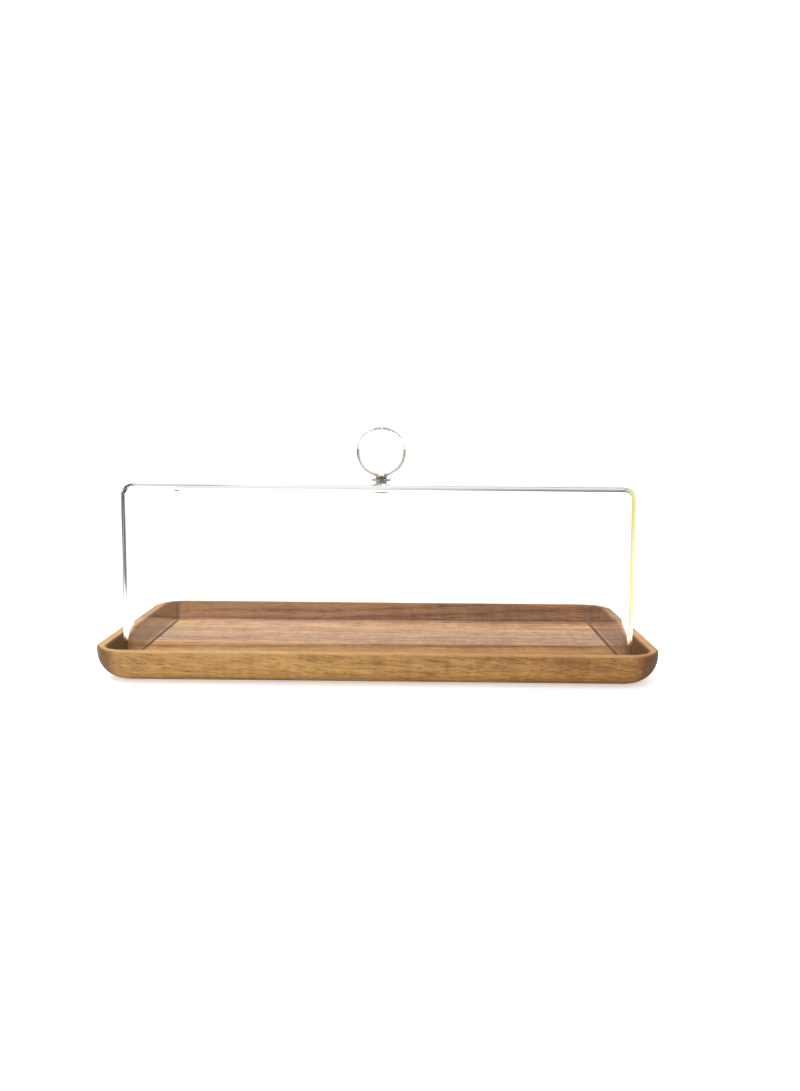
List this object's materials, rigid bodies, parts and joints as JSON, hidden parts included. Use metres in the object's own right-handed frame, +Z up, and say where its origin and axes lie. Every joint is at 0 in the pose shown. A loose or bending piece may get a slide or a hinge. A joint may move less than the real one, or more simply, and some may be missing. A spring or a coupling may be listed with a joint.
{
  "type": "rectangular cake dome on a wooden tray",
  "caption": "Rectangular wooden serving tray with a clear box-shaped dome that stands in its recess and lifts off by a ball knob, to cover cakes.",
  "frame": {"origin": "centre of the tray's flat underside, on the surface that it stands on", "axes": "+X along the tray's length, +Z up, -Y is the front long side"},
  "size_m": [0.4, 0.2, 0.1785],
  "materials": {
    "golden_wood": "satin",
    "brown_wood": "satin",
    "dark_wood": "satin",
    "clear_acrylic": "polished, clear",
    "bronze_metal": "satin",
    "clear_washer": "clear",
    "screw_steel": "satin"
  },
  "bodies": {
    "tray": {"stave_front": "golden_wood", "stave_front_inner": "golden_wood", "stave_middle": "brown_wood", "stave_back_inner": "brown_wood", "stave_back": "dark_wood"},
    "lid": {"dome_shell": "clear_acrylic", "knob_ball": "clear_acrylic", "knob_collar": "bronze_metal", "outer_washer": "clear_washer", "inner_washer": "clear_washer", "knob_screw": "screw_steel"}
  },
  "joints": [
    {"name": "lid_lift", "type": "slide", "parent": "tray", "child": "lid", "axis": [0, 0, 1], "range_m": [0, 0.18]}
  ]
}
